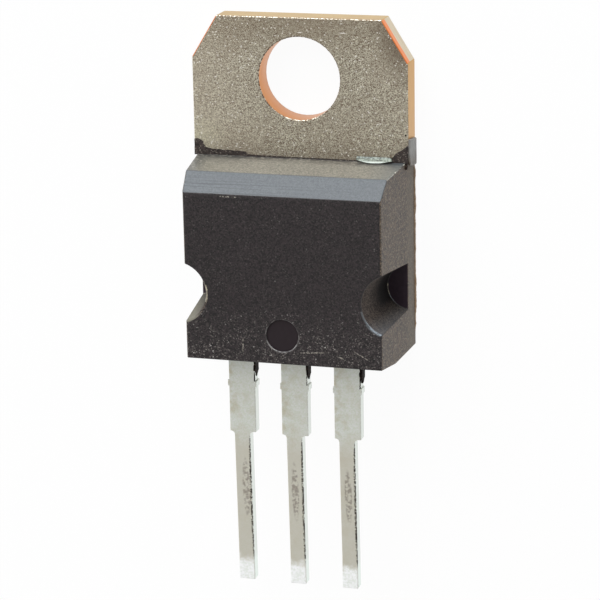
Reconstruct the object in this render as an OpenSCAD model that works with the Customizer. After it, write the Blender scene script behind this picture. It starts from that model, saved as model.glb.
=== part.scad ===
// Three-lead TO-220AB power package holding a common-cathode pair of ultrafast diodes.
// Millimetres. The origin is on the mounting hole's axis, at the back face.
// +X is to the right seen from the front, +Y runs up the tab, +Z comes out of the front face.

/* [Tab and header] */
// Thickness of the copper header
header_t = 1.27; // [1.23:0.01:1.32]
// Width of the tab
tab_w = 10.2; // [10:0.05:10.4]
// Distance from the hole's axis to the tab's free edge
hole_to_edge = 2.8; // [2.65:0.05:2.95]
// Diameter of the mounting hole
hole_d = 3.84; // [3.75:0.01:3.85]
// Width cut from each corner of the free edge
corner_x = 1.2; // [1:0.05:1.4]
// Height cut from each corner of the free edge
corner_y = 1.95; // [1.7:0.05:2.2]
// Distance from the hole's axis to the header's lower end, inside the moulding
hole_to_header_end = 9; // [8.9:0.05:9.1]
// Width of the header's bare back face inside the moulding
pad_back_w = 7.4; // [7:0.1:7.6]
// Width of the header's front layer inside the moulding
pad_front_w = 7.8; // [7.6:0.05:7.9]

/* [Moulding] */
// Height of the front face above the back face
body_h = 4.5; // [4.4:0.05:4.6]
// Width of the front face
front_w = 9.28; // [9.2:0.02:9.3]
// Width of the back face
back_w = 10.18; // [10.16:0.02:10.2]
// Distance from the hole's axis to the moulding's tab end
hole_to_body = 3.7; // [3.6:0.05:3.8]
// Distance from the hole's axis to the moulding's lead end
hole_to_lead_end = 12.8; // [12.7:0.05:12.9]
// Draft angle of the end walls and the notches
draft = 6; // [5:0.25:6]
// Height of the chamfer along the tab end, below the front face
chamfer_z = 0.88; // [0.8:0.02:0.95]
// Run of the same chamfer along the front face
chamfer_y = 0.83; // [0.75:0.02:0.9]
// Height of the side notches' floor above the back face
notch_floor_z = 1; // [0.9:0.05:1.1]
// Radius of the right notch at its floor
notch_floor_r = 1.09; // [1.05:0.01:1.12]
// Distance from the hole's axis to the right notch's axis
hole_to_notch = 9.57; // [9.5:0.01:9.6]
// Diameter of the ejector mark
mark_d = 1.5; // [1.3:0.05:1.7]
// Depth of the ejector mark
mark_depth = 0.08; // [0.04:0.02:0.15]

/* [Leads] */
// Pitch of the leads
pitch = 2.54; // [2.54]
// Thickness of the leads
lead_t = 0.55; // [0.5:0.01:0.6]
// Height of the leads' front face above the back face
lead_front_z = 2.95; // [2.9:0.01:3]
// Width of the leads next to the moulding
wide_w = 1.27; // [1.2:0.01:1.4]
// Width of the leads' long ends
narrow_w = 0.75; // [0.65:0.01:0.85]
// Distance from the hole's axis to the shoulders
hole_to_shoulder = 16.55; // [16.3:0.05:16.8]
// Distance from the hole's axis to the tips
hole_to_tip = 23.95; // [23:0.05:27]
// How far the stub of the cut dam bar stands out of each edge
dam_stub = 0.06; // [0.04:0.01:0.1]

/* [Chips and wires] */
// Side of the square silicon chips
die_side = 2.6; // [2.4:0.1:2.6]
// Thickness of the chips
die_t = 0.25; // [0.2:0.01:0.3]
// Thickness of the solder under the chips
solder_t = 0.05; // [0.03:0.01:0.08]
// Diameter of the bond wires
wire_d = 0.3; // [0.25:0.01:0.32]

/* [Hidden] */

round_fn = 64;
wire_fn = 24;
over = 0.5;                               // how far a cutter stands out of what it cuts

// Moulding
wall_start_z = header_t + 0.03;           // the tab end's wall is drafted above this height
draft_run = tan(draft);
front_shift = -0.04;                      // the front face sits this far off the header's axis
lead_mid_z = lead_front_z - lead_t / 2;   // parting line of the lead end
notch_x = back_w / 2;
left_notch_rise = 0.09;                   // the left notch stands this much nearer the tab
left_notch_cut = 0.05;                    // and its radius is this much smaller
mark_x = -0.07;
mark_y = -11.26;

// Leads
lead_back_z = lead_front_z - lead_t;
shoulder_r = 0.18;                        // fillet between the wide and the narrow part
narrow_shift = -0.05;                     // the narrow part starts this far off the lead's axis
tip_shift = 0.04;                         // and leans to end this far off it
dam_y = -14.2;
dam_h = 0.3;
pad_top_y = -10.3;                        // bond pads, inside the moulding
pad_bottom_y = -11.9;
pad_inner_x = 1.4;
pad_outer_x = 3.7;
tongue_w = 1.8;                           // the centre lead's root, inside the moulding
tongue_bend_y = -9.35;
tongue_rise_run = 1.2;
tongue_end_y = -11.4;

// Header, inside the moulding
lock_z = 0.55;                            // the front layer's ledges start here and hold the moulding
groove_y = -4.5;
groove_w = 0.3;
groove_depth = 0.2;

// Chips and wires
die_x = 2.2;
die_y = -6.8;
die_top_z = header_t + solder_t + die_t;
solder_margin = 0.05;
wire_inner_x = 1.8;
wire_outer_x = 2.8;
wire_die_y = -7.1;
wire_pad_y = -10.95;
wire_half_angle = 55;
foot_w = 0.45;
foot_len = 0.7;
foot_t = 0.16;

// A profile drawn in Y and Z, extruded along X between -half and +half
module along_x(half) {
    translate([-half, 0, 0]) rotate([90, 0, 90]) linear_extrude(2 * half) children();
}

// Side view of the moulding: two halves, each drafted away from its parting line
module body_side_view() {
    waist_y = -hole_to_lead_end;
    polygon([
        [-hole_to_body, 0],
        [-hole_to_body, wall_start_z],
        [-hole_to_body - (body_h - chamfer_z - wall_start_z) * draft_run, body_h - chamfer_z],
        [-hole_to_body - (body_h - chamfer_z - wall_start_z) * draft_run - chamfer_y, body_h],
        [waist_y + (body_h - lead_mid_z) * draft_run, body_h],
        [waist_y, lead_mid_z],
        [waist_y + lead_mid_z * draft_run, 0]
    ]);
}

// End view of the moulding: widest at the back face, and drafted all the way to the front
module body_end_view() {
    polygon([
        [-back_w / 2, 0], [back_w / 2, 0],
        [front_shift + front_w / 2, body_h], [front_shift - front_w / 2, body_h]
    ]);
}

module body_blank() {
    intersection() {
        along_x(back_w) body_side_view();
        translate([0, over - hole_to_body, 0]) rotate([90, 0, 0])
            linear_extrude(hole_to_lead_end + over) body_end_view();
    }
}

// Half-round notch in a side wall, a drafted cone from the front down to its floor
module side_notch(x, y, floor_r) {
    depth = body_h - notch_floor_z + over;
    translate([x, y, notch_floor_z])
        cylinder(h = depth, r1 = floor_r, r2 = floor_r + depth * draft_run, $fn = round_fn);
}

module ejector_mark() {
    translate([mark_x, mark_y, body_h - mark_depth])
        cylinder(h = mark_depth + over, d = mark_d, $fn = round_fn);
}

module mould_body() {
    color("#33302e") difference() {
        body_blank();
        side_notch(notch_x, -hole_to_notch, notch_floor_r);
        side_notch(-notch_x, left_notch_rise - hole_to_notch, notch_floor_r - left_notch_cut);
        ejector_mark();
        header_and_cathode_lead();
        left_anode_lead();
        right_anode_lead();
        left_die_solder();
        right_die_solder();
        left_die();
        right_die();
        left_inner_bond_wire();
        left_outer_bond_wire();
        right_inner_bond_wire();
        right_outer_bond_wire();
    }
}

// Outline of a lead outside the moulding, on its own axis, from start_y down to the tip
module lead_outline(start_y) {
    shoulder_y = -hole_to_shoulder;
    polygon([
        [-wide_w / 2, start_y], [-wide_w / 2, shoulder_y],
        [wide_w / 2, shoulder_y], [wide_w / 2, start_y]
    ]);
    polygon([
        [narrow_shift - narrow_w / 2, shoulder_y], [tip_shift - narrow_w / 2, -hole_to_tip],
        [tip_shift + narrow_w / 2, -hole_to_tip], [narrow_shift + narrow_w / 2, shoulder_y]
    ]);
    for (side = [-1, 1]) {
        edge_x = narrow_shift + side * narrow_w / 2;
        difference() {
            translate([edge_x + side * shoulder_r / 2, shoulder_y - shoulder_r / 2])
                square(shoulder_r, center = true);
            translate([edge_x + side * shoulder_r, shoulder_y - shoulder_r])
                circle(r = shoulder_r, $fn = round_fn);
        }
        translate([side * (wide_w / 2 + dam_stub / 2), dam_y])
            square([dam_stub, dam_h], center = true);
    }
}

// Side view of the centre lead: it leaves the header level with its front and steps up to the leads' level
module tongue_side_view() {
    low_z = header_t - lead_t;
    rise = lead_back_z - low_z;
    shift = lead_t * tan(atan2(rise, tongue_rise_run) / 2);
    top_y = tongue_bend_y - tongue_rise_run;
    root_y = -hole_to_header_end;
    polygon([
        [root_y, low_z], [tongue_bend_y, low_z], [top_y, lead_back_z], [-hole_to_tip, lead_back_z],
        [-hole_to_tip, lead_front_z], [top_y + shift, lead_front_z], [tongue_bend_y + shift, header_t],
        [root_y, header_t]
    ]);
}

module cathode_lead() {
    intersection() {
        along_x(tongue_w) tongue_side_view();
        linear_extrude(body_h) {
            lead_outline(tongue_end_y);
            translate([-tongue_w / 2, tongue_end_y])
                square([tongue_w, -tongue_end_y - hole_to_header_end]);
        }
    }
}

module tab_outline() {
    shoulder_y = hole_to_edge - corner_y;
    polygon([
        [-tab_w / 2, -hole_to_body], [tab_w / 2, -hole_to_body], [tab_w / 2, shoulder_y],
        [tab_w / 2 - corner_x, hole_to_edge], [corner_x - tab_w / 2, hole_to_edge],
        [-tab_w / 2, shoulder_y]
    ]);
}

// The part of the header inside the moulding: narrow at the back, wider at the front
module header_pad() {
    length = hole_to_header_end - hole_to_body;
    difference() {
        union() {
            translate([-pad_back_w / 2, -hole_to_header_end, 0]) cube([pad_back_w, length, header_t]);
            translate([-pad_front_w / 2, -hole_to_header_end, lock_z])
                cube([pad_front_w, length, header_t - lock_z]);
        }
        translate([-pad_front_w / 2 - over, groove_y - groove_w / 2, header_t - groove_depth])
            cube([pad_front_w + 2 * over, groove_w, groove_depth + over]);
    }
}

module header_and_cathode_lead() {
    color("#9a9386") union() {
        difference() {
            linear_extrude(header_t) tab_outline();
            translate([0, 0, -over]) cylinder(h = header_t + 2 * over, d = hole_d, $fn = round_fn);
        }
        header_pad();
        cathode_lead();
    }
}

// An outer lead with its bond pad: side is -1 for the left lead and 1 for the right one
module anode_lead(side) {
    color("#bdbdb0") translate([0, 0, lead_back_z]) linear_extrude(lead_t) {
        translate([side * pitch, 0]) lead_outline(pad_bottom_y);
        translate([side > 0 ? pad_inner_x : -pad_outer_x, pad_bottom_y])
            square([pad_outer_x - pad_inner_x, pad_top_y - pad_bottom_y]);
    }
}

module left_anode_lead() { anode_lead(-1); }
module right_anode_lead() { anode_lead(1); }

// A square slab lying on its underside, centred on a chip's place
module chip_slab(side, width, low_z, thickness) {
    translate([side * die_x - width / 2, die_y - width / 2, low_z]) cube([width, width, thickness]);
}

module die(side) { color("#54585c") chip_slab(side, die_side, header_t + solder_t, die_t); }
module die_solder(side) { color("#a9abac") chip_slab(side, die_side + 2 * solder_margin, header_t, solder_t); }

module left_die() { die(-1); }
module right_die() { die(1); }
module left_die_solder() { die_solder(-1); }
module right_die_solder() { die_solder(1); }

// A bond wire in the plane at wire_x: a flattened foot on the chip, an arc, and a foot on the lead's pad
module bond_wire(wire_x) {
    start = [wire_die_y, die_top_z + 0.75 * foot_t];
    end = [wire_pad_y, lead_front_z + foot_t];
    chord = norm(end - start);
    tilt = atan2(end[1] - start[1], start[0] - end[0]);
    radius = chord / 2 / sin(wire_half_angle);
    drop = radius * cos(wire_half_angle);
    centre = (start + end) / 2 - drop * [sin(tilt), cos(tilt)];
    color("#cfd0d2") union() {
        translate([wire_x, centre[0], centre[1]])
            rotate([90, 0, 90]) rotate([0, 0, 90 - tilt - wire_half_angle])
                rotate_extrude(angle = 2 * wire_half_angle, $fn = round_fn)
                    translate([radius, 0]) circle(d = wire_d, $fn = wire_fn);
        translate([wire_x - foot_w / 2, start[0] - wire_d / 2, die_top_z])
            cube([foot_w, foot_len, foot_t]);
        translate([wire_x - foot_w / 2, end[0] + wire_d / 2 - foot_len, lead_front_z])
            cube([foot_w, foot_len, foot_t]);
    }
}

module left_inner_bond_wire() { bond_wire(-wire_inner_x); }
module left_outer_bond_wire() { bond_wire(-wire_outer_x); }
module right_inner_bond_wire() { bond_wire(wire_inner_x); }
module right_outer_bond_wire() { bond_wire(wire_outer_x); }

mould_body();
header_and_cathode_lead();
left_anode_lead();
right_anode_lead();
left_die();
right_die();
left_die_solder();
right_die_solder();
left_inner_bond_wire();
left_outer_bond_wire();
right_inner_bond_wire();
right_outer_bond_wire();
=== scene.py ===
import math
import random

import bmesh
import bpy
from mathutils import Euler, Matrix, Vector, noise


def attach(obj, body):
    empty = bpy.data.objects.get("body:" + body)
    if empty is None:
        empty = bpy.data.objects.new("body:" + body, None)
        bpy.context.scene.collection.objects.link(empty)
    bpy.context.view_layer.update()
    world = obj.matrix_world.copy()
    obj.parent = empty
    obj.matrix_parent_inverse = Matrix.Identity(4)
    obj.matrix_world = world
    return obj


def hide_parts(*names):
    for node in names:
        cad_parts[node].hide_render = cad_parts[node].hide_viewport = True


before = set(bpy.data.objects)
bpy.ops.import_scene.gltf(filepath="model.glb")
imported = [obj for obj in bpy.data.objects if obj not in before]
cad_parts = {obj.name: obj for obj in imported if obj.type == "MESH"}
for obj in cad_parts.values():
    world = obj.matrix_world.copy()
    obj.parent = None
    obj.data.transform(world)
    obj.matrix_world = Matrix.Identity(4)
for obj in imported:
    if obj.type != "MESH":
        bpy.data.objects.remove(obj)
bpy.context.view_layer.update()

# ---- Camera ----
# A long macro lens above the part, which lies on its back with its leads towards -Y.
# The lens leans a little to the right and up the tab, so the right wall and the tab end show.
MM = 0.001
aim = Vector((0, -8, 2)) * MM
lens_turn = Euler((math.radians(-15.91), math.radians(16.37), math.radians(-1.04)), "ZXY")
lens_place = Vector((0.1075, -2.1622, 116.881)) * MM
macro_lens = bpy.data.cameras.new("macro_lens")
macro_lens.sensor_width = 36
macro_lens.lens = 152.35
macro_lens.clip_start = 10 * MM
camera = bpy.data.objects.new("camera", macro_lens)
camera.rotation_mode = lens_turn.order
camera.rotation_euler = lens_turn
camera.location = aim + lens_turn.to_matrix() @ lens_place
bpy.context.scene.collection.objects.link(camera)
bpy.context.scene.camera = camera
bpy.context.scene.view_settings.view_transform = "Standard"

# ---- Table, backdrop and light ----
# A white table inside a round white backdrop, under a dim ceiling. The lamps are two wide softboxes
# beyond the tab, which the bevelled end of the moulding and the cut edges reflect.
WHITE = (1, 1, 1, 1)
PAPER = (0.92, 0.92, 0.92, 1)
table_reach = 1.5
wall_height = 0.7
table_drop = 0.01 * MM
ceiling_light = 0.44


def add(tree, kind, *inputs, out="", **settings):
    """Adds a shader node with its settings, fills its sockets in order, and returns one of its outputs."""
    made = tree.nodes.new("ShaderNode" + kind)
    for setting, value in settings.items():
        setattr(made, setting, value)
    for socket, value in zip([socket for socket in made.inputs if socket.enabled], inputs):
        if isinstance(value, bpy.types.NodeSocket):
            tree.links.new(value, socket)
        else:
            socket.default_value = value
    results = {socket.name: socket for socket in made.outputs if socket.enabled}
    return results[out] if out else next(iter(results.values()), None)


def white_paper(name, own_light):
    """Matt white paper. own_light is the share of it that is seen as plain white, whatever falls on it."""
    paper = bpy.data.materials.new(name)
    paper.use_nodes = True
    tree = paper.node_tree
    tree.nodes.clear()
    seen = add(tree, "LightPath", out="Is Camera Ray")
    for ray in ("Is Glossy Ray", "Is Transmission Ray"):
        seen = add(tree, "Math", seen, add(tree, "LightPath", out=ray), operation="MAXIMUM")
    share = add(tree, "Math", seen, own_light, operation="MULTIPLY")
    lit = add(tree, "BsdfDiffuse", PAPER)
    white = add(tree, "Emission", WHITE, 1)
    add(tree, "OutputMaterial", add(tree, "MixShader", share, lit, white))
    return paper


def new_piece(name, shape, materials):
    """A piece in the part's own frame, made from a bmesh."""
    mesh = bpy.data.meshes.new(name)
    shape.to_mesh(mesh)
    shape.free()
    for material in materials:
        mesh.materials.append(material)
    piece = bpy.data.objects.new(name, mesh)
    bpy.context.scene.collection.objects.link(piece)
    return piece


shape = bmesh.new()
bmesh.ops.create_circle(shape, cap_ends=True, segments=96, radius=table_reach)
bmesh.ops.translate(shape, verts=shape.verts, vec=(0, 0, -table_drop))
new_piece("table", shape, [white_paper("table_paper", 0.95)])

shape = bmesh.new()
bmesh.ops.create_circle(shape, segments=96, radius=table_reach)
raised = bmesh.ops.extrude_edge_only(shape, edges=shape.edges)["geom"]
raised_verts = [item for item in raised if isinstance(item, bmesh.types.BMVert)]
bmesh.ops.translate(shape, verts=raised_verts, vec=(0, 0, wall_height))
new_piece("backdrop", shape, [white_paper("backdrop_paper", 1.0)])

world = bpy.data.worlds.new("ceiling")
world.use_nodes = True
world.node_tree.nodes["Background"].inputs["Color"].default_value = WHITE
world.node_tree.nodes["Background"].inputs["Strength"].default_value = ceiling_light
bpy.context.scene.world = world


def softbox(name, side, elevation, distance, width, height, watts, colour):
    """A rectangular softbox facing the part. side is its angle round the part from +Y towards -X."""
    lamp = bpy.data.lights.new(name, "AREA")
    lamp.shape = "RECTANGLE"
    lamp.size = width
    lamp.size_y = height
    lamp.energy = watts
    lamp.color = colour
    box = bpy.data.objects.new(name, lamp)
    turn = math.radians(side)
    rise = math.radians(elevation)
    out = Vector((-math.sin(turn) * math.cos(rise), math.cos(turn) * math.cos(rise), math.sin(rise)))
    box.location = aim + out * distance
    box.rotation_euler = out.to_track_quat("Z", "Y").to_euler()
    bpy.context.scene.collection.objects.link(box)


softbox("tab_end_softbox", side=16, elevation=17, distance=0.5,
        width=0.60, height=0.26, watts=2.7, colour=(0.84, 0.92, 1.0))
softbox("tall_softbox", side=24, elevation=48, distance=0.6,
        width=0.50, height=0.36, watts=1.75, colour=(1.0, 0.97, 0.92))

# ---- Moulded body ----
# The moulding is black epoxy with silica filler, pressed round the header and leads in a two-part mould.
# The mould was spark-eroded, which leaves a fine even grain. Its bevelled end was ground, and is smoother.


def paint(code):
    """Turns an sRGB hex colour, such as #33302e, to linear values."""
    channels = [int(code[i:i + 2], 16) / 255 for i in (1, 3, 5)]
    return [c / 12.92 if c <= 0.04045 else ((c + 0.055) / 1.055) ** 2.4 for c in channels] + [1]


def new_finish(name, metallic, roughness, specular=0.5):
    """A material: itself, its node tree, its Principled shader, and the place on the part in millimetres."""
    material = bpy.data.materials.new(name)
    material.use_nodes = True
    tree = material.node_tree
    shader = tree.nodes["Principled BSDF"]
    shader.inputs["Metallic"].default_value = metallic
    shader.inputs["Roughness"].default_value = roughness
    shader.inputs["Specular IOR Level"].default_value = specular
    metres = add(tree, "TexCoord", out="Object")
    # A place in millimetres makes a noise's scale its number of lumps to the millimetre.
    place = add(tree, "VectorMath", metres, (1 / MM, 1 / MM, 1 / MM), operation="MULTIPLY")
    return material, tree, shader, place


def finish(tree, shader, colour, height, depth):
    """Gives the shader its colour, and a relief of a depth in millimetres."""
    filter_width = 0.1
    tree.links.new(colour, shader.inputs["Base Color"])
    relief = add(tree, "Bump", 1, depth * MM, filter_width, height)
    tree.links.new(relief, shader.inputs["Normal"])


def grains(tree, place, size):
    """Grains of a size in millimetres, each with a tone of its own between 0 and 1."""
    tones = add(tree, "TexVoronoi", place, 1 / size, out="Color")
    return add(tree, "SeparateXYZ", tones, out="X")


def lines(tree, place, *spacing):
    """Noise drawn out into lines, with how fine it is along X, Y and Z in millimetres."""
    drawn = add(tree, "VectorMath", place, [1 / size for size in spacing], operation="MULTIPLY")
    return add(tree, "TexNoise", drawn, 1, 3)


def streak(tree, place, start, end, width):
    """A long mark between two points on a face, strongest in its middle and gone at its rim."""
    run = Vector(end) - Vector(start)
    middle = (Vector(end) + Vector(start)) / 2
    turn = (0, 0, math.atan2(run.y, run.x))
    reach = (run.length / 2, width / 2, 0.2)
    local = add(tree, "Mapping", place, middle, turn, reach, vector_type="TEXTURE")
    return add(tree, "TexGradient", local, gradient_type="SPHERICAL")


# The moulding in millimetres: its front, its side walls, its end walls, its notches and its ejector mark.
front_z = 4.5
near_front_z = 4.3
wall_x = 4.3
end_wall_y = -5.0
end_wall_low_z = 1.4
bevelled_end_z = 3.6
lead_end_back_y = -12.5
lead_end_shift = 0.09
notch_y = -9.57
notch_floor_z = 1.0
notch_reach = 1.6
notch_inner_x = 3.3
notch_fillet_x = 4.98
mark_centre = (-0.07, -11.26, front_z)
mark_radius = 0.75
# How wide its edges are rounded, and the band of the front beside them.
side_rounding = 0.12
notch_rounding = 0.1
rim_rounding = 0.05
floor_fillet = 0.03
front_band = 0.15
# Scratches on the front, from one end to the other. The last is a chip in the edge of the bevelled end.
front_scratches = [
    ((-1.94, -11.34, front_z), (-1.96, -12.25, front_z)),
    ((0.52, -12.03, front_z), (2.18, -11.91, front_z)),
    ((3.20, -11.72, front_z), (4.12, -12.24, front_z)),
    ((2.46, -12.03, front_z), (2.88, -12.19, front_z)),
    ((-3.25, -4.87, front_z), (-1.85, -4.88, front_z)),
]


def spark_eroded_epoxy():
    """Moulded epoxy with a spark-eroded grain: matt and nearly black, with pale filler where it is worn."""
    material, tree, shader, place = new_finish("spark_eroded_epoxy", 0, 0.58)
    # The craters and the filler are really 0.02 to 0.04 mm across, and are drawn coarser, so that they show.
    grit = grains(tree, place, 0.06)
    colour = add(tree, "Mix", grit, paint("#080505"), paint("#31282a"), data_type="RGBA")
    # More filler shows towards the leads, in patches.
    height = add(tree, "SeparateXYZ", place, out="Y")
    worn = add(tree, "MapRange", height, -11.9, -9.8, 0.7, 0.12)
    patches = add(tree, "MapRange", add(tree, "TexNoise", place, 1.1, 4), 0.4, 0.6, 0.5, 1)
    worn = add(tree, "Math", worn, patches, operation="MULTIPLY")
    for size, rare, tone in ((0.05, 0.78, "#544e4b"), (0.045, 0.94, "#8b857f"), (0.05, 0.99, "#cfcbc6")):
        filler = add(tree, "MapRange", grains(tree, place, size), rare, rare + 0.006)
        filler = add(tree, "Math", filler, worn, operation="MULTIPLY")
        colour = add(tree, "Mix", filler, colour, paint(tone), data_type="RGBA")
    for start, end in front_scratches:
        scratch = add(tree, "MapRange", streak(tree, place, start, end, 0.07), 0.05, 0.5, 0, 0.8)
        broken = add(tree, "MapRange", add(tree, "TexNoise", place, 12, 2), 0.45, 0.55)
        scratch = add(tree, "Math", scratch, broken, operation="MULTIPLY")
        colour = add(tree, "Mix", scratch, colour, paint("#b0a99d"), data_type="RGBA")
    # A pale ring round the ejector mark: partly a little flash that the pin's rim left, and partly a painted
    # highlight on that rim, strongest on the side towards the leads, which faces the lamps.
    away = add(tree, "VectorMath", place, mark_centre, operation="DISTANCE")
    inner = add(tree, "MapRange", away, mark_radius - 0.02, mark_radius)
    outer = add(tree, "MapRange", away, mark_radius + 0.04, mark_radius + 0.07, 1, 0)
    ring = add(tree, "Math", inner, outer, operation="MULTIPLY")
    broken = add(tree, "MapRange", add(tree, "TexNoise", place, 3, 2), 0.4, 0.55, 0.1, 0.75)
    fainter = add(tree, "MapRange", height, -11.5, -10.8, 1, 0.4)
    for share in (broken, fainter):
        ring = add(tree, "Math", ring, share, operation="MULTIPLY")
    colour = add(tree, "Mix", ring, colour, paint("#8e8b89"), data_type="RGBA")
    finish(tree, shader, colour, grit, 0.006)
    return material


def drafted_wall_epoxy():
    """The drafted walls: the same grain, greyer than the front, partly from wear along the mould as they
    came out and partly as painted sheen for the light they catch at a grazing angle.
    """
    material, tree, shader, place = new_finish("drafted_wall_epoxy", 0, 0.55)
    shader.inputs["Sheen Weight"].default_value = 0.12
    # Coarser than the real craters, as on the front.
    grit = grains(tree, place, 0.065)
    colour = add(tree, "Mix", grit, paint("#050302"), paint("#6c5843"), data_type="RGBA")
    pale = add(tree, "MapRange", grains(tree, place, 0.06), 0.86, 0.9, 0, 0.5)
    colour = add(tree, "Mix", pale, colour, paint("#9c8f7c"), data_type="RGBA")
    depth = add(tree, "SeparateXYZ", place, out="Z")
    # Painted reflection: lighter towards the back edge, where the walls mirror the white table.
    near_back = add(tree, "MapRange", depth, 0.6, 1.5, 0.55, 0)
    colour = add(tree, "Mix", near_back, colour, paint("#6f6453"), data_type="RGBA")
    finish(tree, shader, colour, grit, 0.006)
    return material


def end_wall_painted_light_epoxy():
    """The wall next to the tab: smooth, with a pale tone that is painted light, darker and mottled at the
    left, and with painted shade along the joint.
    """
    material, tree, shader, place = new_finish("end_wall_painted_light_epoxy", 0, 0.36)
    shader.inputs["Sheen Weight"].default_value = 0.1
    haze = grains(tree, place, 0.06)
    # Painted light: the pale tone stands in for the light this face reflects from the tab and the lamps
    # beyond it.
    colour = add(tree, "Mix", haze, paint("#43403b"), paint("#888478"), data_type="RGBA")
    across, depth = [add(tree, "SeparateXYZ", place, out=axis) for axis in "XZ"]
    mottle = add(tree, "MapRange", add(tree, "TexNoise", place, 6, 4), 0.4, 0.5)
    left = add(tree, "MapRange", across, -5.4, -2.0, 0.7, 0.05)
    # Painted shade along the joint with the tab, joined with the darker, mottled left end.
    near_tab = add(tree, "MapRange", depth, 1.45, 2.1, 1, 0)
    dark_left_and_joint_shade = add(tree, "Math", left, near_tab, operation="MAXIMUM")
    dark_left_and_joint_shade = add(tree, "Math", dark_left_and_joint_shade, mottle, operation="MULTIPLY")
    colour = add(tree, "Mix", dark_left_and_joint_shade, colour, paint("#282522"), data_type="RGBA")
    right = add(tree, "MapRange", across, 3.6, 4.6, 0, 0.6)
    colour = add(tree, "Mix", right, colour, paint("#4a5053"), data_type="RGBA")
    finish(tree, shader, colour, haze, 0.002)
    return material


def ground_epoxy():
    """The bevelled end: moulded against a ground insert, smooth, with faint lines along it."""
    material, tree, shader, place = new_finish("ground_epoxy", 0, 0.42)
    shader.inputs["Sheen Weight"].default_value = 0.1
    haze = grains(tree, place, 0.05)
    # The grey, slightly blue tone is partly painted reflection of the bluish lamp beyond the tab: the epoxy
    # itself is near black.
    colour = add(tree, "Mix", haze, paint("#434548"), paint("#545759"), data_type="RGBA")
    across, depth = [add(tree, "SeparateXYZ", place, out=axis) for axis in "XZ"]
    left = add(tree, "MapRange", across, -4.5, 1.5, 1, 0.15)
    near_front = add(tree, "MapRange", depth, 3.8, 4.2, 0.2, 1)
    # The grinding lines are really about 0.01 mm apart, and are drawn as coarse as they need to show.
    scored = add(tree, "MapRange", lines(tree, place, 5, 0.05, 0.05), 0.52, 0.6)
    for share in (left, near_front):
        scored = add(tree, "Math", scored, share, operation="MULTIPLY")
    colour = add(tree, "Mix", scored, colour, paint("#27272a"), data_type="RGBA")
    finish(tree, shader, colour, haze, 0.001)
    return material


def pinned_epoxy():
    """The walls of the notches: moulded against the mould's side pins, matt brown-grey, with painted light
    where they face the tab and painted shade deep inside.
    """
    material, tree, shader, place = new_finish("pinned_epoxy", 0, 0.75, specular=0.2)
    grit = grains(tree, place, 0.055)
    colour = add(tree, "Mix", grit, paint("#25201e"), paint("#61564f"), data_type="RGBA")
    pale = add(tree, "MapRange", grains(tree, place, 0.05), 0.95, 0.96, 0, 0.35)
    colour = add(tree, "Mix", pale, colour, paint("#8f8578"), data_type="RGBA")
    across, height, depth = [add(tree, "SeparateXYZ", place, out=axis) for axis in "XYZ"]
    # Painted light: greyed where the wall faces the tab and the lamps beyond it, and paler still on the left
    # notch.
    worn = add(tree, "MapRange", height, notch_y - 1.3, notch_y - 0.8, 0.5, 0)
    colour = add(tree, "Mix", worn, colour, paint("#5e6063"), data_type="RGBA")
    left = add(tree, "Math", across, 0, operation="LESS_THAN")
    left = add(tree, "Math", left, worn, operation="MULTIPLY")
    left = add(tree, "MapRange", left, 0, 0.3, 0, 0.7)
    colour = add(tree, "Mix", left, colour, paint("#817d6e"), data_type="RGBA")
    # Painted shade deep in the notch, on the wall's upper part.
    upper = add(tree, "MapRange", height, notch_y - 1.1, notch_y - 0.55)
    painted_shade_inside = add(tree, "MapRange", depth, 2.0, 3.5, 0.97, 0)
    painted_shade_inside = add(tree, "Math", painted_shade_inside, upper, operation="MULTIPLY")
    colour = add(tree, "Mix", painted_shade_inside, colour, paint("#0b0709"), data_type="RGBA")
    finish(tree, shader, colour, grit, 0.006)
    return material


def polished_epoxy():
    """The floors of the ejector mark and the notches: moulded against the smooth ends of pins."""
    material, tree, shader, place = new_finish("polished_epoxy", 0, 0.35, specular=0.2)
    swirl = add(tree, "TexNoise", place, 5, 3)
    colour = add(tree, "Mix", swirl, paint("#2b2129"), paint("#40343d"), data_type="RGBA")
    depth = add(tree, "SeparateXYZ", place, out="Z")
    # The mark's floor is darker than the notches' floors: the two tones are painted light and shade, making
    # up for the mark catching more light than the shaded notch floors.
    is_mark = add(tree, "MapRange", depth, 2, 3, 0, 0.8)
    colour = add(tree, "Mix", is_mark, colour, paint("#272122"), data_type="RGBA")
    finish(tree, shader, colour, swirl, 0.003)
    return material


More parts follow.
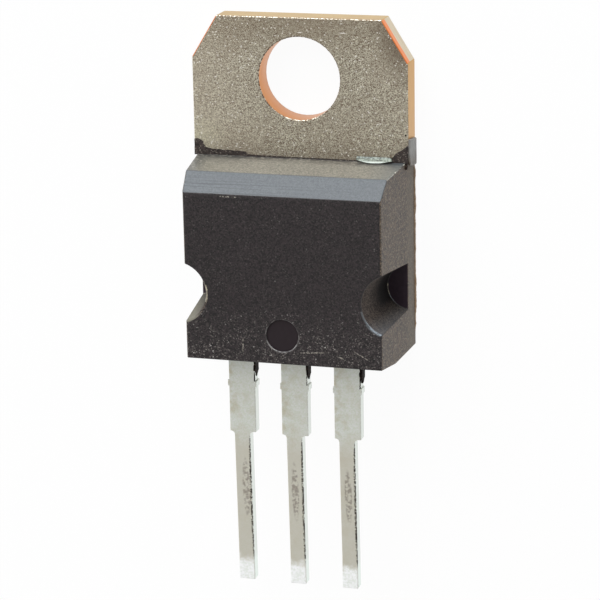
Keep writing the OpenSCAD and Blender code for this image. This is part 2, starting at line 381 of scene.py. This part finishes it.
def painted_highlight_epoxy():
    """Painted highlight on the fillet round each notch's floor and on the notches' rims: pale and patchy,
    with, on the right notch, a bluish painted reflection towards the leads, painted shade where it runs deep
    there, and painted shadow past the notch's middle.
    """
    material, tree, shader, place = new_finish("painted_highlight_epoxy", 0, 0.4)
    patches = add(tree, "TexNoise", place, 5, 3)
    share = add(tree, "MapRange", patches, 0.42, 0.6)
    colour = add(tree, "Mix", share, paint("#6e6659"), paint("#b3aa92"), data_type="RGBA")
    across, height, depth = [add(tree, "SeparateXYZ", place, out=axis) for axis in "XYZ"]
    # On the right notch only: the bluish painted reflection, darker patches, painted shade deep towards the
    # leads and painted shadow past the middle.
    right = add(tree, "Math", across, 0, operation="GREATER_THAN")
    cool = add(tree, "MapRange", height, notch_y - 0.5, notch_y - 0.35, 1, 0)
    dull = add(tree, "MapRange", add(tree, "TexNoise", place, 14, 3), 0.45, 0.6, 0, 0.7)
    deep = add(tree, "MapRange", depth, 1.2, 1.6, 1, 0)
    faded = add(tree, "MapRange", height, notch_y - 0.95, notch_y - 0.45, 1, 0)
    faded = add(tree, "Math", faded, deep, operation="MULTIPLY")
    painted_shadow_above = add(tree, "MapRange", height, notch_y + 0.05, notch_y + 0.15)
    for share, tone in ((cool, "#828a91"), (dull, "#45474a"), (faded, "#322e2d"), (painted_shadow_above, "#120e0f")):
        share = add(tree, "Math", share, right, operation="MULTIPLY")
        colour = add(tree, "Mix", share, colour, paint(tone), data_type="RGBA")
    finish(tree, shader, colour, patches, 0.002)
    return material


def worn_rim_highlight_epoxy():
    """Sharp rims worn by other parts: greyed and pale, partly wear and partly a painted highlight, with a
    few white flecks that are partly chipped spots and partly painted glints.
    """
    material, tree, shader, place = new_finish("worn_rim_highlight_epoxy", 0, 0.45)
    patches = add(tree, "TexNoise", place, 6, 3)
    share = add(tree, "MapRange", patches, 0.4, 0.62)
    colour = add(tree, "Mix", share, paint("#4f4b45"), paint("#a8a59b"), data_type="RGBA")
    white_flecks_and_glints = add(tree, "MapRange", grains(tree, place, 0.16), 0.9, 0.92)
    colour = add(tree, "Mix", white_flecks_and_glints, colour, paint("#f2eedd"), data_type="RGBA")
    finish(tree, shader, colour, patches, 0.004)
    return material


# How close two corners count as one, and the angles of a flat joint, a real corner and a hard edge.
same_point = 0.0005
still_flat = math.radians(0.8)
real_corner = math.radians(28)
smooth_limit = math.radians(40)


def merged_copy(node):
    """A bmesh with the shape of a CAD node, its loose triangles merged into flat faces."""
    shape = bmesh.new()
    shape.from_mesh(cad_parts[node].data)
    bmesh.ops.remove_doubles(shape, verts=shape.verts, dist=same_point * MM)
    bmesh.ops.dissolve_limit(shape, angle_limit=still_flat, verts=shape.verts, edges=shape.edges)
    return shape


def rounded(shape, widest, rounding):
    """The shape with its real corners rounded in one pass, each as wide as rounding says, in millimetres."""
    shares = shape.edges.layers.float.new("bevel_weight_edge")
    for edge in shape.edges:
        if edge.is_manifold and edge.calc_face_angle() > real_corner:
            middle = (edge.verts[0].co + edge.verts[1].co) / 2 / MM
            edge[shares] = rounding(edge, *middle) / widest
    blank = new_piece("blank", shape, [])
    bevel = blank.modifiers.new("rounding", "BEVEL")
    bevel.affect = "EDGES"
    bevel.limit_method = "WEIGHT"
    bevel.width = widest * MM
    bevel.segments = 3
    bevel.profile = 0.5
    bevel.material = -1
    bevel.use_clamp_overlap = False
    finished = blank.evaluated_get(bpy.context.evaluated_depsgraph_get())
    result = bmesh.new()
    result.from_mesh(finished.to_mesh())
    # Removing the blank's mesh removes its object too.
    bpy.data.meshes.remove(blank.data)
    return result


def soften(piece):
    """Smooth shading that keeps flat faces flat and real corners sharp."""
    piece.data.shade_smooth()
    piece.data.set_sharp_from_angle(angle=smooth_limit)
    piece.modifiers.new("even_normals", "WEIGHTED_NORMAL").keep_sharp = True


body_finishes = [
    spark_eroded_epoxy(),
    drafted_wall_epoxy(),
    end_wall_painted_light_epoxy(),
    ground_epoxy(),
    polished_epoxy(),
    painted_highlight_epoxy(),
    pinned_epoxy(),
    worn_rim_highlight_epoxy(),
]
ERODED, WALL, END_WALL_PAINTED_LIGHT, GROUND, POLISHED, PAINTED_HIGHLIGHT, PINNED, WORN_RIM_HIGHLIGHT = range(8)


def near_notch(x, y):
    return abs(x) > notch_inner_x and abs(y - notch_y) < notch_reach


def flat_finish(face):
    """Which of the body's finishes a flat face has, before its edges are rounded."""
    x, y, z = face.calc_center_median() / MM
    from_mark = [(corner.co / MM - Vector(mark_centre)).length for corner in face.verts]
    if y > end_wall_y and face.normal.y > 0.3 and z > 1.2:
        return GROUND if z > bevelled_end_z - 0.05 else END_WALL_PAINTED_LIGHT
    if z > near_front_z and max(from_mark) < mark_radius + 0.02:
        return POLISHED
    if abs(face.normal.x) > 0.98 and face.calc_area() > MM ** 2:
        return WALL
    if near_notch(x, y):
        if face.normal.z > 0.9 and abs(z - notch_floor_z) < 0.2:
            return POLISHED
        if abs(face.normal.z) < 0.5 and face.normal.x * x > 0:
            return PINNED
    return ERODED


def rebuild_notch_walls(shape):
    """Remakes each notch's wall as one strip of faces between its rim and its floor."""
    walls = [face for face in shape.faces if face.material_index == PINNED]
    bmesh.ops.delete(shape, geom=walls, context="FACES")
    halfway = []
    for corner in shape.verts:
        if corner.is_boundary and notch_floor_z + 0.1 < corner.co.z / MM < front_z - 0.1:
            halfway.append(corner)
    bmesh.ops.dissolve_verts(shape, verts=halfway)
    for side in (-1, 1):
        rims = []
        for edge in shape.edges:
            is_level = abs(edge.verts[0].co.z - edge.verts[1].co.z) < 0.1 * MM
            if edge.is_boundary and is_level and edge.verts[0].co.x * side > 0:
                rims.append(edge)
        for face in bmesh.ops.bridge_loops(shape, edges=rims)["faces"]:
            face.material_index = PINNED


def body_rounding(edge, x, y, z):
    """How wide an edge of the moulding is rounded. The cavities that the metal fills stay sharp."""
    normals = [face.normal for face in edge.link_faces]
    is_notch = near_notch(x, y) and z > notch_floor_z - 0.1
    if not edge.is_convex:
        is_fillet = is_notch and z < notch_floor_z + 0.1 and abs(x) < notch_fillet_x
        return floor_fillet if is_fillet else 0
    if is_notch:
        return notch_rounding if z > front_z - 0.1 else rim_rounding
    if abs(x) > wall_x and max(n.z for n in normals) > 0.99 and max(abs(n.x) for n in normals) > 0.98:
        return side_rounding
    if abs(x) > wall_x or z > near_front_z or (y > end_wall_y and z > end_wall_low_z):
        return rim_rounding
    return 0


def rounded_finish(face):
    """Which finish a face has after the rounding: most keep theirs, and the worn rims and the rims with a
    painted highlight get their own.
    """
    x, y, z = face.calc_center_median() / MM
    if near_notch(x, y):
        if z > front_z - notch_rounding - 0.01 and face.normal.z < 0.98:
            if x > 0 and face.normal.y > 0.5:
                return PAINTED_HIGHLIGHT
            if x < 0 and y < notch_y + 0.6:
                return PAINTED_HIGHLIGHT if y > notch_y - 0.35 else PINNED
            # Rims facing the tab take the bevelled end's finish, whose grey tone adds a painted highlight to
            # them.
            return GROUND if face.normal.y > 0.15 else ERODED
        if abs(z - notch_floor_z) < 0.04 and face.normal.z < 0.98 and abs(x) < notch_fillet_x - 0.08:
            return PAINTED_HIGHLIGHT
    elif y > end_wall_y and end_wall_low_z < z < bevelled_end_z + 0.1 and 0.3 < abs(face.normal.x) < 0.97:
        return WORN_RIM_HIGHLIGHT
    return face.material_index


shape = merged_copy("mould_body")
for face in shape.faces:
    face.material_index = flat_finish(face)
rebuild_notch_walls(shape)
# The end wall at the leads leans less than in the CAD: its back edge moves outwards.
for corner in shape.verts:
    if corner.co.y < lead_end_back_y * MM and corner.co.z < 0.1 * MM:
        corner.co.y -= lead_end_shift * MM
front = []
for face in shape.faces:
    if face.normal.z > 0.99 and face.calc_center_median().z > (front_z - 0.01) * MM:
        front.append(face)
bmesh.ops.inset_region(
    shape, faces=front, thickness=front_band * MM, use_even_offset=True, use_boundary=True,
)
shape = rounded(shape, side_rounding, body_rounding)
for face in shape.faces:
    face.material_index = rounded_finish(face)
moulded_body = new_piece("moulded_body", shape, body_finishes)
soften(moulded_body)
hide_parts("mould_body")
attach(moulded_body, "root")

# ---- Header with the centre lead ----
# The header is copper strip of two gauges, blanked in one piece with the centre lead. It was plated with
# matt nickel before it was blanked, so its cut edges are bare copper. The leads were tinned after moulding.
# The metal in millimetres: the tab, its bore and the joint, then the leads and how far solder wets them.
tab_top = 1.27
bevel_x = 3.9
bore_radius = 1.92
joint_y = -3.6
pitch = 2.54
lead_top = 2.95
lead_root_y = -11.9
dip_y = -22.95
# How wide its edges are rounded.
plate_rounding = 0.045
lead_rounding = 0.028
burr_rounding = 0.055
# Each lead's rub mark: its X, and the Y where it starts and ends.
rub_marks = [(-2.50, -17.6, -21.0), (-0.10, -17.7, -21.0), (2.48, -17.9, -20.9)]
# Two painted glints on dents in the tab's top, each from one end to the other.
nick_glints = [((-0.08, 2.12, tab_top), (0.21, 2.13, tab_top)), ((1.84, 2.16, tab_top), (2.31, 2.15, tab_top))]


def matt_nickel_plate():
    """Matt nickel plate over rolled copper: warm grey, a frost of grains, and painted glints where single
    grains catch the light.
    """
    material, tree, shader, place = new_finish("matt_nickel_plate", 1, 0.4)
    # The plate's crystals are really about 0.01 mm across, and are drawn as coarse as they need to show.
    frost = grains(tree, place, 0.034)
    colour = add(tree, "Mix", frost, paint("#796453"), paint("#fffae3"), data_type="RGBA")
    cloud = add(tree, "MapRange", add(tree, "TexNoise", place, 0.5, 3), 0.38, 0.65, 0, 0.3)
    colour = add(tree, "Mix", cloud, colour, paint("#b8aa96"), data_type="RGBA")
    across, height = [add(tree, "SeparateXYZ", place, out=axis) for axis in "XY"]
    left = add(tree, "MapRange", across, -5, -1, 0.2, 0)
    colour = add(tree, "Mix", left, colour, paint("#fff0d8"), data_type="RGBA")
    joint = add(tree, "MapRange", height, -3.6, -2.7, 0.4, 0)
    colour = add(tree, "Mix", joint, colour, paint("#8a7d70"), data_type="RGBA")
    tab_end = add(tree, "MapRange", height, 0.6, 2.8, 0, 0.45)
    colour = add(tree, "Mix", tab_end, colour, paint("#92806a"), data_type="RGBA")
    dull_edge = streak(tree, place, (3.6, 3.4, tab_top), (5.6, -0.4, tab_top), 2.2)
    dull_edge = add(tree, "MapRange", dull_edge, 0, 0.8, 0, 0.6)
    colour = add(tree, "Mix", dull_edge, colour, paint("#80705f"), data_type="RGBA")
    pale_corner = streak(tree, place, (-6.2, -2.9, tab_top), (-3.4, -2.9, tab_top), 2.4)
    pale_corner = add(tree, "MapRange", pale_corner, 0, 0.8, 0, 0.4)
    colour = add(tree, "Mix", pale_corner, colour, paint("#e9e4c6"), data_type="RGBA")
    # Painted glints: single crystals and two dents in the tab's top, drawn white. They look white because
    # they are less metallic than the rest, which mirrors the dim ceiling.
    bright = add(tree, "MapRange", grains(tree, place, 0.052), 0.975, 0.979, 0, 0.7)
    for start, end in nick_glints:
        nick_glint = add(tree, "MapRange", streak(tree, place, start, end, 0.05), 0, 0.6)
        bright = add(tree, "Math", bright, nick_glint, operation="MAXIMUM")
    colour = add(tree, "Mix", bright, colour, paint("#fffaf0"), data_type="RGBA")
    tree.links.new(add(tree, "MapRange", bright, 0, 1, 1, 0.2), shader.inputs["Metallic"])
    pit = streak(tree, place, (4.92, -2.42, tab_top), (5.02, -2.42, tab_top), 0.1)
    pit = add(tree, "MapRange", pit, 0, 0.3)
    colour = add(tree, "Mix", pit, colour, paint("#120e0c"), data_type="RGBA")
    finish(tree, shader, colour, frost, 0.01)
    return material


def burnished_rim():
    """The plate's front rims, burnished where they touched other parts: bright, and broken by brown."""
    material, tree, shader, place = new_finish("burnished_rim", 1, 0.3)
    patches = add(tree, "TexNoise", place, 18, 3)
    share = add(tree, "MapRange", patches, 0.46, 0.6)
    colour = add(tree, "Mix", share, paint("#6d5b49"), paint("#e6dfcf"), data_type="RGBA")
    finish(tree, shader, colour, patches, 0.008)
    return material


def cut_copper(name, clean, dull, torn=None):
    """Bare copper where the strip was blanked: a clean shear, and on some edges a torn band by the front."""
    material, tree, shader, place = new_finish(name, 1, 0.36)
    shear = lines(tree, place, 1 / 1.2, 1 / 1.2, 1 / 12)
    share = add(tree, "MapRange", shear, 0.35, 0.7, 0, 0.6)
    colour = add(tree, "Mix", share, paint(clean), paint(dull), data_type="RGBA")
    if torn:
        depth = add(tree, "SeparateXYZ", place, out="Z")
        ragged = add(tree, "Math", shear, 0.15, depth, operation="MULTIPLY_ADD")
        band = add(tree, "MapRange", ragged, 0.91, 0.97)
        colour = add(tree, "Mix", band, colour, paint(torn), data_type="RGBA")
    finish(tree, shader, colour, shear, 0.004)
    return material


def matt_tin_plate():
    """Matt tin over copper: pale and even, browner where it was handled, white where solder wet it."""
    material, tree, shader, place = new_finish("matt_tin_plate", 0.72, 0.42)
    fine = add(tree, "TexNoise", place, 10, 3)
    cloud = add(tree, "TexNoise", place, 2.2, 4)
    frost = grains(tree, place, 0.06)
    colour = add(tree, "Mix", frost, paint("#eff4e6"), paint("#fdfffa"), data_type="RGBA")
    across, length = [add(tree, "SeparateXYZ", place, out=axis) for axis in "XY"]
    # The same across every lead: wrapped to half a pitch on each side of its middle.
    across = add(tree, "Math", across, pitch / 2, -pitch / 2, operation="WRAP")
    left_edge = add(tree, "MapRange", across, -0.6, 0.1, 1, 0.35)
    stained = add(tree, "MapRange", cloud, 0.45, 0.7, 0, 0.7)
    stained = add(tree, "Math", stained, left_edge, operation="MULTIPLY")
    colour = add(tree, "Mix", stained, colour, paint("#d2c8a6"), data_type="RGBA")
    handled = add(tree, "MapRange", length, -17.5, -16.2, 0.75, 0)
    colour = add(tree, "Mix", handled, colour, paint("#e6e0cf"), data_type="RGBA")
    for lead_x, top_y, bottom_y in rub_marks:
        mark = streak(tree, place, (lead_x, top_y, lead_top), (lead_x + 0.1, bottom_y, lead_top), 0.42)
        mark = add(tree, "MapRange", mark, 0.05, 0.3)
        gaps = add(tree, "MapRange", add(tree, "TexNoise", place, 7, 5), 0.42, 0.6, 0, 0.6)
        dark = add(tree, "Math", mark, gaps, operation="MULTIPLY")
        colour = add(tree, "Mix", dark, colour, paint("#85736a"), data_type="RGBA")
    for lead_x in (-pitch, 0, pitch):
        burr = streak(tree, place, (lead_x + 0.28, -16.7, lead_top), (lead_x + 0.36, -23, lead_top), 0.1)
        burr = add(tree, "MapRange", burr, 0, 0.15)
        dots = add(tree, "MapRange", add(tree, "TexNoise", place, 15, 2), 0.44, 0.52)
        burr = add(tree, "Math", burr, dots, operation="MULTIPLY")
        colour = add(tree, "Mix", burr, colour, paint("#3f3027"), data_type="RGBA")
    # The solder ends at a ragged line. It is white and matt, so it is hardly metallic.
    ragged = add(tree, "Math", cloud, 0.8, length, operation="MULTIPLY_ADD")
    ragged = add(tree, "Math", fine, 0.4, ragged, operation="MULTIPLY_ADD")
    dipped = add(tree, "MapRange", ragged, dip_y + 0.4, dip_y + 0.8, 1, 0)
    mottle = add(tree, "MapRange", fine, 0.42, 0.62)
    solder = add(tree, "Mix", mottle, paint("#ffffff"), paint("#eef1eb"), data_type="RGBA")
    colour = add(tree, "Mix", dipped, colour, solder, data_type="RGBA")
    tree.links.new(add(tree, "MapRange", dipped, 0, 1, 0.72, 0.1), shader.inputs["Metallic"])
    finish(tree, shader, colour, fine, 0.003)
    return material


def sheared_tin():
    """Tin on the leads' cut side walls: brighter and cooler than on their faces, partly as painted
    reflection of the white table these walls face.
    """
    material, tree, shader, place = new_finish("sheared_tin", 1, 0.4)
    shear = lines(tree, place, 1 / 14, 1, 1 / 14)
    colour = add(tree, "Mix", shear, paint("#d8dfda"), paint("#f0f4ee"), data_type="RGBA")
    length = add(tree, "SeparateXYZ", place, out="Y")
    dipped = add(tree, "MapRange", length, dip_y, dip_y + 0.3, 1, 0)
    colour = add(tree, "Mix", dipped, colour, paint("#edf6f0"), data_type="RGBA")
    finish(tree, shader, colour, shear, 0.003)
    return material


def burred_tin():
    """The right front edge of the blanked leads: a broken line of dark burr in the tin."""
    material, tree, shader, place = new_finish("burred_tin", 1, 0.45)
    dots = add(tree, "TexNoise", place, 9, 2)
    length = add(tree, "SeparateXYZ", place, out="Y")
    above_dip = add(tree, "MapRange", length, dip_y, dip_y + 0.3)
    # It is plain on the narrow part and next to the fin, and faint on the rest of the wide part.
    narrow = add(tree, "MapRange", length, -16.9, -16.6, 1, 0.15)
    near_fin = add(tree, "MapRange", length, -14.4, -14.0)
    plain = add(tree, "Math", narrow, near_fin, operation="MAXIMUM")
    dark = add(tree, "MapRange", dots, 0.4, 0.47)
    for share in (above_dip, plain):
        dark = add(tree, "Math", dark, share, operation="MULTIPLY")
    colour = add(tree, "Mix", dark, paint("#e6e8e0"), paint("#1c120c"), data_type="RGBA")
    tree.links.new(add(tree, "MapRange", above_dip, 0, 1, 0.1, 1), shader.inputs["Metallic"])
    finish(tree, shader, colour, dots, 0.006)
    return material


header_finishes = [
    matt_nickel_plate(),
    cut_copper("sheared_copper_end", "#d5b678", "#b89358"),
    cut_copper("sheared_copper_side", "#d19f51", "#bd8a41"),
    cut_copper("torn_copper", "#daceb3", "#c9b497", torn="#f28e50"),
    cut_copper("bored_copper", "#d8965f", "#c68250"),
    matt_tin_plate(),
    sheared_tin(),
    burred_tin(),
    burnished_rim(),
]
NICKEL, COPPER_END, COPPER_SIDE, COPPER_TORN, COPPER_BORE, TIN, TIN_SIDE, BURR, RIM = range(9)


def finish_metal(shape):
    """Nickel on the strip's faces, copper on its cut edges, and tin on the leads outside the moulding."""
    for face in shape.faces:
        x, y, z = face.calc_center_median() / MM
        across = abs(face.normal.x)
        up = face.normal.z
        in_bore = math.hypot(x, y) < bore_radius + 0.18
        is_lead = y < lead_root_y + 0.9
        if is_lead and face.normal.x > 0.3 and up > 0.3 and abs(face.normal.y) < 0.3:
            face.material_index = BURR
        elif is_lead:
            face.material_index = TIN_SIDE if across > 0.9 else TIN
        elif y > 0.9 and abs(x) > bevel_x and across > 0.1 and face.normal.y > 0.05:
            face.material_index = COPPER_TORN
        elif 0.2 < up < 0.97 and z > 1 and (y > 2.6 or in_bore):
            face.material_index = RIM
        elif abs(up) > 0.5:
            face.material_index = NICKEL
        elif in_bore:
            face.material_index = COPPER_BORE
        elif y > 2.5:
            face.material_index = COPPER_END
        else:
            face.material_index = COPPER_SIDE


def close_cracks(shape):
    """Closes the hairline cracks beside the leads' shoulders, where a wall folds back on itself."""
    folded_back = math.radians(178)
    welds = {}
    for edge in shape.edges:
        if edge.is_manifold and edge.calc_face_angle() > folded_back:
            for corner in edge.verts:
                beside = [other for other in corner.link_edges if other != edge]
                welds[corner] = min(beside, key=bmesh.types.BMEdge.calc_length).other_vert(corner)
    bmesh.ops.weld_verts(shape, targetmap=welds)


def metal_rounding(edge, x, y, z):
    """How wide an edge of the metal is rounded: most on the leads' right front, and none in the moulding."""
    normals = [face.normal for face in edge.link_faces]
    if not edge.is_convex or lead_root_y < y < joint_y:
        return 0
    if y > joint_y:
        return plate_rounding
    is_right = max(n.x for n in normals) > 0.9 and max(n.z for n in normals) > 0.9
    return burr_rounding if is_right and edge.calc_length() > 0.3 * MM else lead_rounding


shape = merged_copy("header_and_cathode_lead")
close_cracks(shape)
shape = rounded(shape, burr_rounding, metal_rounding)
finish_metal(shape)
header = new_piece("header_with_centre_lead", shape, header_finishes)
soften(header)
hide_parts("header_and_cathode_lead")
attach(header, "root")

# ---- Outer leads ----
# The outer leads are blanked from the same strip as the header's lead, and tinned with it.
# Each ends inside the moulding in a pad that two bond wires join to its chip.
for side in ("left", "right"):
    shape = merged_copy(side + "_anode_lead")
    close_cracks(shape)
    shape = rounded(shape, burr_rounding, metal_rounding)
    finish_metal(shape)
    lead = new_piece(side + "_lead", shape, header_finishes)
    soften(lead)
    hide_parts(side + "_anode_lead")
    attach(lead, "root")

# ---- Resin bleed and flash ----
# Where the mould shut on the metal, a little resin squeezed out: dark skins and a lump on the tab beside
# the joint, a fin down the tab's right edge, a thin rim along the moulding's back edge, and a fin on the
# right edge of each lead. None of it was trimmed.
ragged_hand = random.Random(7)
# Turns a plate so that its outline's X and Y lie along Y and Z, and its heights along X.
ALONG_X = Matrix(((0, 0, 1, 0), (1, 0, 0, 0), (0, 1, 0, 0), (0, 0, 0, 1)))


def bled_resin():
    """Thin squeezed-out resin: dark brown, rough, with shiny grains drawn as painted glints."""
    material, tree, shader, place = new_finish("bled_resin", 0, 0.5)
    grit = grains(tree, place, 0.055)
    colour = add(tree, "Mix", grit, paint("#120c0a"), paint("#413530"), data_type="RGBA")
    # Painted glints on shiny grains.
    shiny = add(tree, "MapRange", grains(tree, place, 0.045), 0.92, 0.94, 0, 0.6)
    colour = add(tree, "Mix", shiny, colour, paint("#948a80"), data_type="RGBA")
    finish(tree, shader, colour, grit, 0.01)
    return material


def black_flash():
    """The fins on the leads: charred black by the solder bath, and quite matt."""
    material, tree, shader, place = new_finish("black_flash", 0, 0.7, specular=0.12)
    cloud = add(tree, "TexNoise", place, 9, 3)
    share = add(tree, "MapRange", cloud, 0.5, 0.7)
    colour = add(tree, "Mix", share, paint("#140c09"), paint("#4a3a30"), data_type="RGBA")
    finish(tree, shader, colour, cloud, 0.02)
    return material


def brown_flash():
    """The thin flash along the back edge, where light passes a little: brown-grey and smooth, and painted
    lighter to make up for the shaded table it faces.
    """
    material, tree, shader, place = new_finish("brown_flash", 0, 0.5, specular=0.3)
    grit = grains(tree, place, 0.07)
    # Painted light: the pale brown makes up for the table's shade beside the edge.
    colour = add(tree, "Mix", grit, paint("#a08264"), paint("#c4a98b"), data_type="RGBA")
    finish(tree, shader, colour, grit, 0.006)
    return material


def grey_flash():
    """Thick flash on the tab's edge: smooth and grey above, brown and rough towards the moulding."""
    material, tree, shader, place = new_finish("grey_flash", 0, 0.4, specular=0.4)
    cloud = add(tree, "TexNoise", place, 4, 3)
    colour = add(tree, "Mix", cloud, paint("#666462"), paint("#979591"), data_type="RGBA")
    height = add(tree, "SeparateXYZ", place, out="Y")
    low = add(tree, "MapRange", height, -3.75, -3.2, 1, 0)
    brown = add(tree, "Mix", grains(tree, place, 0.07), paint("#3c332a"), paint("#75695b"), data_type="RGBA")
    colour = add(tree, "Mix", low, colour, brown, data_type="RGBA")
    finish(tree, shader, colour, cloud, 0.02)
    return material


def resin_plate(name, outline, low, high, material, rough=0.012, turn=None):
    """A plate of resin with a ragged rim: an outline in X and Y between two heights, and then turned."""
    shape = bmesh.new()
    corners = [shape.verts.new((x * MM, y * MM, low * MM)) for x, y in outline]
    shape.faces.new(corners)
    bmesh.ops.subdivide_edges(shape, edges=shape.edges, cuts=4)
    for corner in shape.verts:
        corner.co.x += ragged_hand.uniform(-rough, rough) * MM
        corner.co.y += ragged_hand.uniform(-rough, rough) * MM
    risen = bmesh.ops.extrude_face_region(shape, geom=list(shape.faces))["geom"]
    top = [item for item in risen if isinstance(item, bmesh.types.BMVert)]
    bmesh.ops.translate(shape, verts=top, vec=(0, 0, (high - low) * MM))
    if turn:
        bmesh.ops.transform(shape, matrix=turn, verts=shape.verts)
    bmesh.ops.recalc_face_normals(shape, faces=shape.faces)
    piece = new_piece(name, shape, [material])
    soft_rim = piece.modifiers.new("soft_rim", "BEVEL")
    soft_rim.width = (high - low) * 0.4 * MM
    soft_rim.segments = 2
    soft_rim.limit_method = "ANGLE"
    soft_rim.angle_limit = math.radians(50)
    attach(piece, "root")


bleed = bled_resin()
left_bleed = [
    (-5.09, -2.99), (-4.92, -2.96), (-4.68, -3.09), (-4.64, -3.23), (-4.54, -3.37),
    (-4.25, -3.43), (-3.48, -3.46), (-2.65, -3.49), (-2.52, -3.62), (0.0, -3.65),
    (2.75, -3.66), (2.75, -3.72), (-5.09, -3.72),
]
right_bleed = [
    (5.09, -2.86), (4.89, -3.04), (4.51, -3.29), (4.28, -3.56), (3.95, -3.66),
    (3.95, -3.72), (5.09, -3.72),
]
resin_plate("left_resin_bleed", left_bleed, tab_top - 0.01, tab_top + 0.03, bleed)
resin_plate("right_resin_bleed", right_bleed, tab_top - 0.01, tab_top + 0.05, bleed)

tab_side = 5.1
tab_fin = [
    (-2.76, 0.02), (-2.66, 0.6), (-2.6, 1.25), (-3.3, 1.29), (-3.8, 1.25), (-3.95, 0.6), (-3.98, 0.02),
]
resin_plate("tab_edge_flash", tab_fin, tab_side - 0.02, tab_side + 0.08, grey_flash(), turn=ALONG_X)

back_edge = [(5.06, -3.9), (5.11, -4.2)]
back_edge += [(5.105 + ragged_hand.uniform(-0.03, 0.04), -4.4 - 0.4 * step) for step in range(19)]
back_edge += [(5.06, -12.2)]
resin_plate("back_edge_flash", back_edge, 0.005, 0.12, brown_flash(), rough=0.008)

charred = black_flash()
lead_side = 0.635
lead_low = 2.38
fin_top = lead_top + 0.02
lead_fin = [(-12.7, lead_low), (-12.7, fin_top), (-13.5, fin_top), (-13.86, 2.72), (-13.62, lead_low)]
for name, lead_x, reach in (("left", -pitch, 0.04), ("centre", 0, 0.04), ("right", pitch, 0.09)):
    wall = lead_x + lead_side
    resin_plate(name + "_lead_flash", lead_fin, wall - 0.08, wall + reach, charred, rough=0.02, turn=ALONG_X)

lump_centre = Vector((4.97, -3.86, 1.28))
lump_reach = Vector((0.1, 0.15, 0.12))
shape = bmesh.new()
bmesh.ops.create_icosphere(shape, subdivisions=3, radius=1)
for corner in shape.verts:
    bumpy = 1 + 0.35 * noise.noise(corner.co * 1.7)
    corner.co = (lump_centre + corner.co * lump_reach * bumpy) * MM
lump = new_piece("resin_lump", shape, [charred])
lump.data.shade_smooth()
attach(lump, "root")

# ---- Lifted skin beside the joint ----
# A flake of resin skin that the mould pinched up: it starts flat on the tab, near the right corner,
# and curls up against the moulding's end wall.


def pinched_skin():
    """Thin pale skin, creased, with a painted highlight along its lifted rim."""
    material, tree, shader, place = new_finish("pinched_skin", 0, 0.4)
    creases = add(tree, "TexNoise", place, 8, 3)
    share = add(tree, "MapRange", creases, 0.38, 0.62)
    colour = add(tree, "Mix", share, paint("#484d47"), paint("#949c90"), data_type="RGBA")
    depth = add(tree, "SeparateXYZ", place, out="Z")
    # Painted highlight along the lifted rim.
    lifted = add(tree, "MapRange", depth, 1.5, 1.62)
    colour = add(tree, "Mix", lifted, colour, paint("#c3cac1"), data_type="RGBA")
    finish(tree, shader, colour, creases, 0.02)
    return material


flake_left = 2.68
flake_right = 4.28
flake_root_y = -3.48
flake_rise = 0.36
flake_thickness = 0.03
shape = bmesh.new()
bmesh.ops.create_grid(shape, x_segments=24, y_segments=8, size=0.5)
for corner in shape.verts:
    along = corner.co.x + 0.5
    lift = 0.5 - corner.co.y
    bow = math.sin(math.pi * (0.12 + 0.76 * along)) ** 0.8
    x = flake_left + (flake_right - flake_left) * along + 0.1 * lift * along
    y = flake_root_y - (0.06 + 0.16 * bow) * lift
    crumple = 0.012 * noise.noise(Vector((x * 5, y * 5, 3)))
    z = tab_top + 0.02 + flake_rise * bow * lift ** 1.6 + crumple
    corner.co = Vector((x, y, z)) * MM
bmesh.ops.recalc_face_normals(shape, faces=shape.faces)
flake = new_piece("lifted_skin", shape, [pinched_skin()])
skin_thickness = flake.modifiers.new("skin_thickness", "SOLIDIFY")
skin_thickness.thickness = flake_thickness * MM
flake.data.shade_smooth()
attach(flake, "root")

# ---- Chips, solder and bond wires ----
# Two silicon diode chips are soldered to the header inside the moulding, and two drawn aluminium wires
# join the top of each to the pad of its lead. The moulding hides them all.


def polished_silicon():
    """A silicon chip, sawn at its sides, with an aluminium contact over its top: grey with a faint grain."""
    material, tree, shader, place = new_finish("polished_silicon", 0.6, 0.25)
    frost = grains(tree, place, 0.04)
    colour = add(tree, "Mix", frost, paint("#5b5f66"), paint("#8b8f94"), data_type="RGBA")
    finish(tree, shader, colour, frost, 0.001)
    return material


def dull_solder():
    """Lead-tin solder that froze between two faces: dull grey, with crystals of two tones."""
    material, tree, shader, place = new_finish("dull_solder", 1, 0.5)
    crystals = grains(tree, place, 0.12)
    colour = add(tree, "Mix", crystals, paint("#8d8f90"), paint("#b9bbba"), data_type="RGBA")
    finish(tree, shader, colour, crystals, 0.004)
    return material


def drawn_aluminium():
    """Soft aluminium wire, drawn through a die: bright, with fine scratches along it."""
    material, tree, shader, place = new_finish("drawn_aluminium", 1, 0.3)
    scratches = lines(tree, place, 1 / 30, 1 / 2, 1 / 2)
    colour = add(tree, "Mix", scratches, paint("#c9ccd0"), paint("#eceef0"), data_type="RGBA")
    finish(tree, shader, colour, scratches, 0.002)
    return material


inner_finishes = {"die": polished_silicon(), "solder": dull_solder(), "wire": drawn_aluminium()}
for name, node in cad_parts.items():
    kind = name.split("_")[-1]
    if kind in inner_finishes:
        node.material_slots[0].material = inner_finishes[kind]
